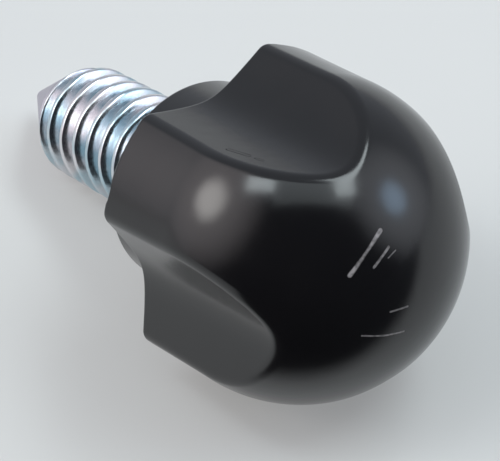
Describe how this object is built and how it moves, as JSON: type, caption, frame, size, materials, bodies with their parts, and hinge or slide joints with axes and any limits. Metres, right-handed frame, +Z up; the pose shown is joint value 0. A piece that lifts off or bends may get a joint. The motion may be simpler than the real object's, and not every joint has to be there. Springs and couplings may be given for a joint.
{
  "type": "fluted knob with threaded stud",
  "caption": "Domed black plastic knob with a lobed, fluted grip and a round boss, moulded round a zinc-plated threaded steel stud with a cone point.",
  "frame": {"origin": "on the floor under the middle of the object's box, with the knob lying on its side as it rests", "axes": "+X along the object's length, from the stud's point towards the dome; +Y sideways; +Z up"},
  "size_m": [0.0314, 0.015, 0.0163],
  "materials": {
    "black_plastic": "moulded gloss black, with light scratches on the dome",
    "zinc_plated_steel": "bright zinc plating with a faint blue tint"
  },
  "bodies": {
    "root": {"knob_body": "black_plastic", "stud": "zinc_plated_steel"}
  },
  "joints": []
}
